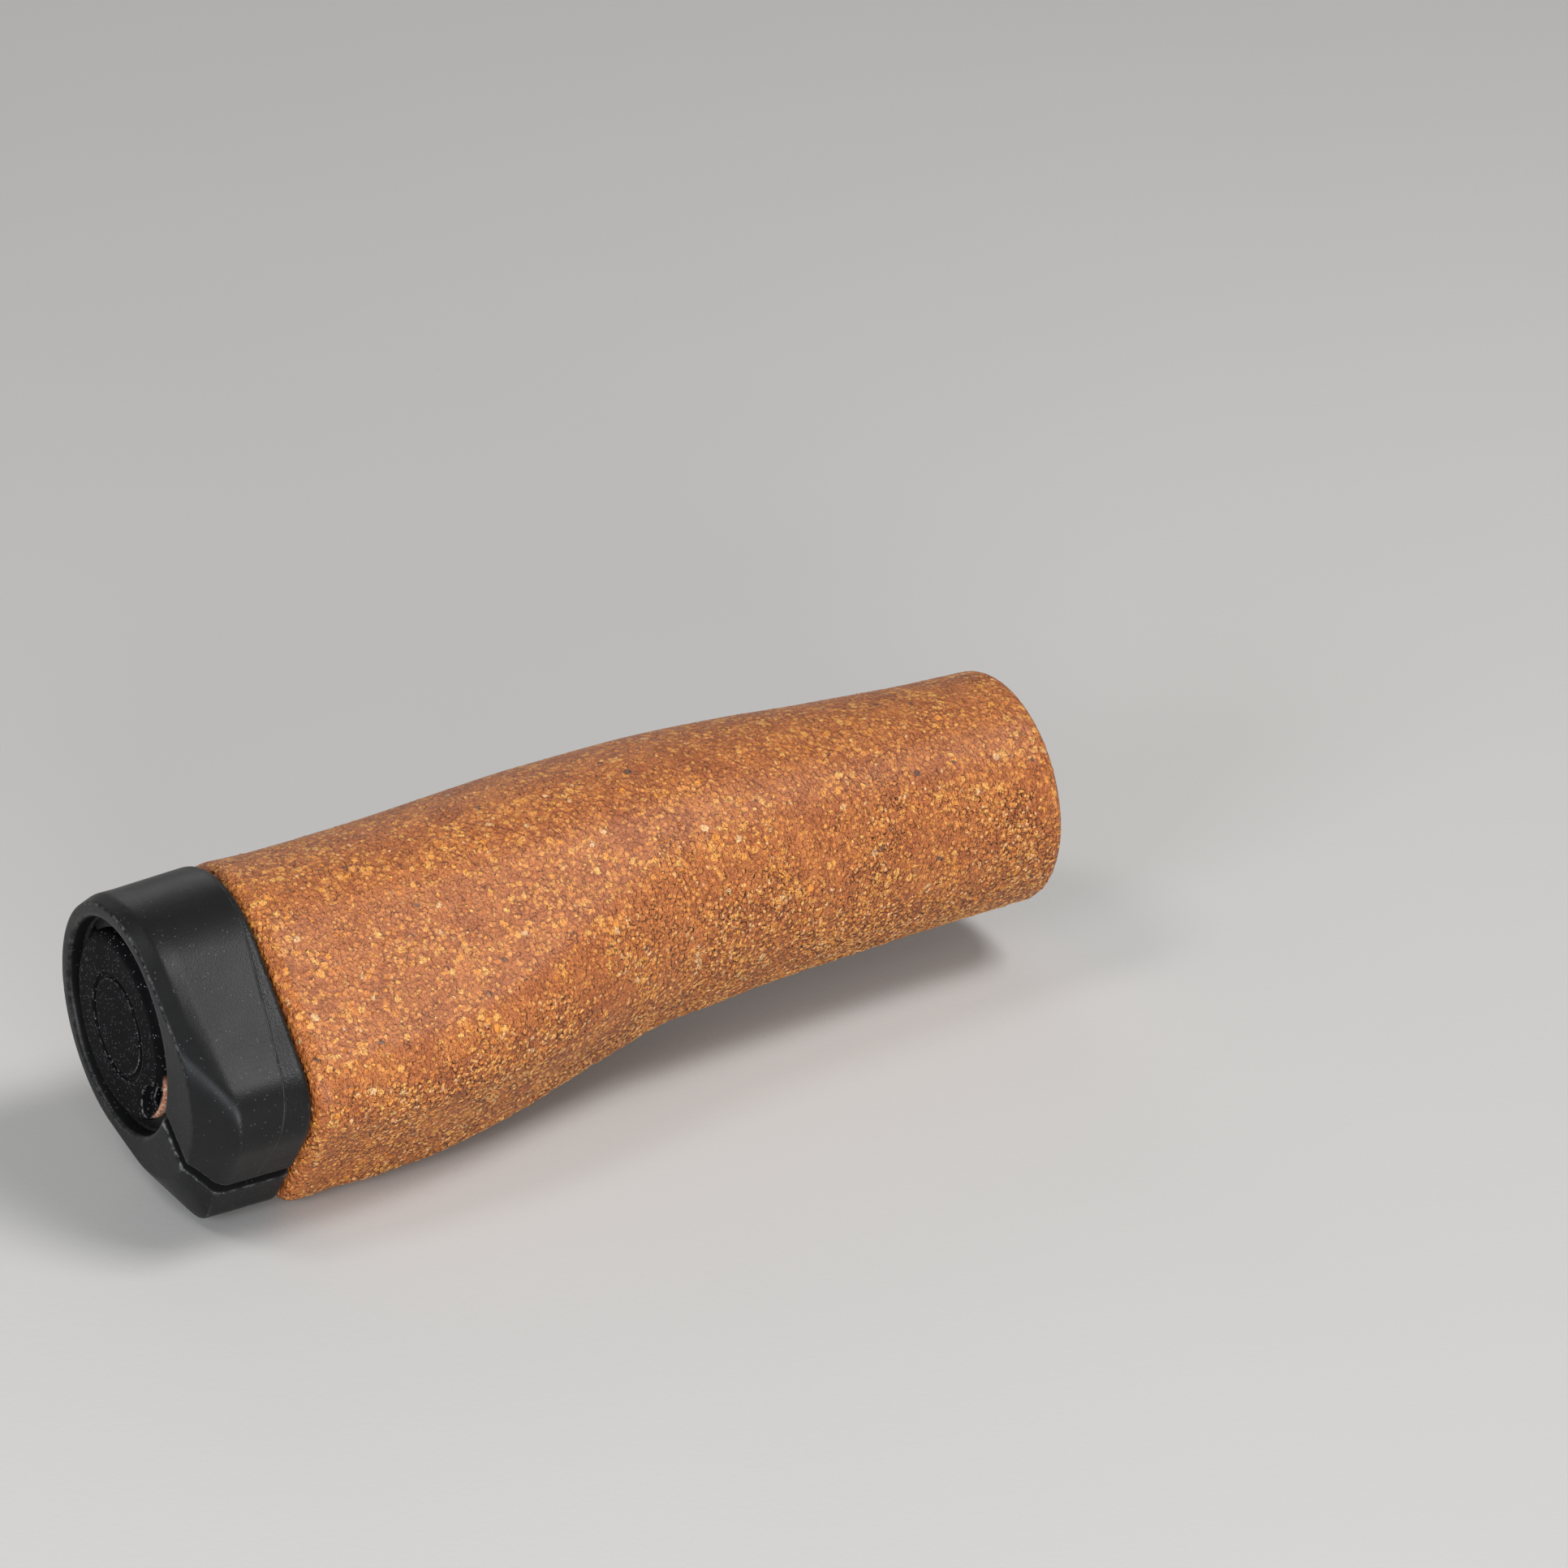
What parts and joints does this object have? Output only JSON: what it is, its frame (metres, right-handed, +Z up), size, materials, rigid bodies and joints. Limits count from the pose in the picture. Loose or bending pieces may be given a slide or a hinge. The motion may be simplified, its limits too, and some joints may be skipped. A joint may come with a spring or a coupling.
{
  "type": "bicycle handlebar grip",
  "caption": "Lock-on handlebar grip for the left side: cork sleeve with a palm wing, split screw clamp at the outer end and a push-in end plug.",
  "frame": {"origin": "centre of the bar bore's inboard mouth", "axes": "+X along the bar, inboard; +Y forward; +Z up, as worn on a bar; the palm wing and the clamp's jaws point rearward and a little down"},
  "size_m": [0.121, 0.0427, 0.0376],
  "materials": {
    "core_tube": "matte black moulded nylon",
    "cork_sleeve": "matte cork and rubber compound, fine tan flakes in orange brown",
    "clamp_ring": "matte black glass-filled nylon with a fine grain",
    "clamp_screw": "plain steel, satin",
    "screw_washer": "plain steel, satin",
    "clamp_nut": "plain steel, satin",
    "end_plug": "matte black plastic, slightly speckled"
  },
  "bodies": {
    "grip": {"core_tube": "core_tube", "cork_sleeve": "cork_sleeve", "clamp_ring": "clamp_ring", "clamp_nut": "clamp_nut"},
    "plug": {"end_plug": "end_plug"},
    "washer": {"screw_washer": "screw_washer"},
    "screw": {"clamp_screw": "clamp_screw"}
  },
  "joints": [
    {"name": "plug_pull", "type": "slide", "parent": "grip", "child": "plug", "axis": [-1, 0, 0], "range_m": [0, 0.006]},
    {"name": "washer_travel", "type": "slide", "parent": "grip", "child": "washer", "axis": [0, 0.6428, -0.766], "range_m": [0, 0.00595]},
    {"name": "screw_turn", "type": "hinge", "parent": "washer", "child": "screw", "pos_m": [-0.11345, -0.01188, -0.01323], "axis": [0, 0.6428, -0.766], "range_deg": [0, 3060]}
  ],
  "couplings": [
    {"joint": "screw_turn", "follows": "washer_travel", "rad_per_m": 8976}
  ]
}
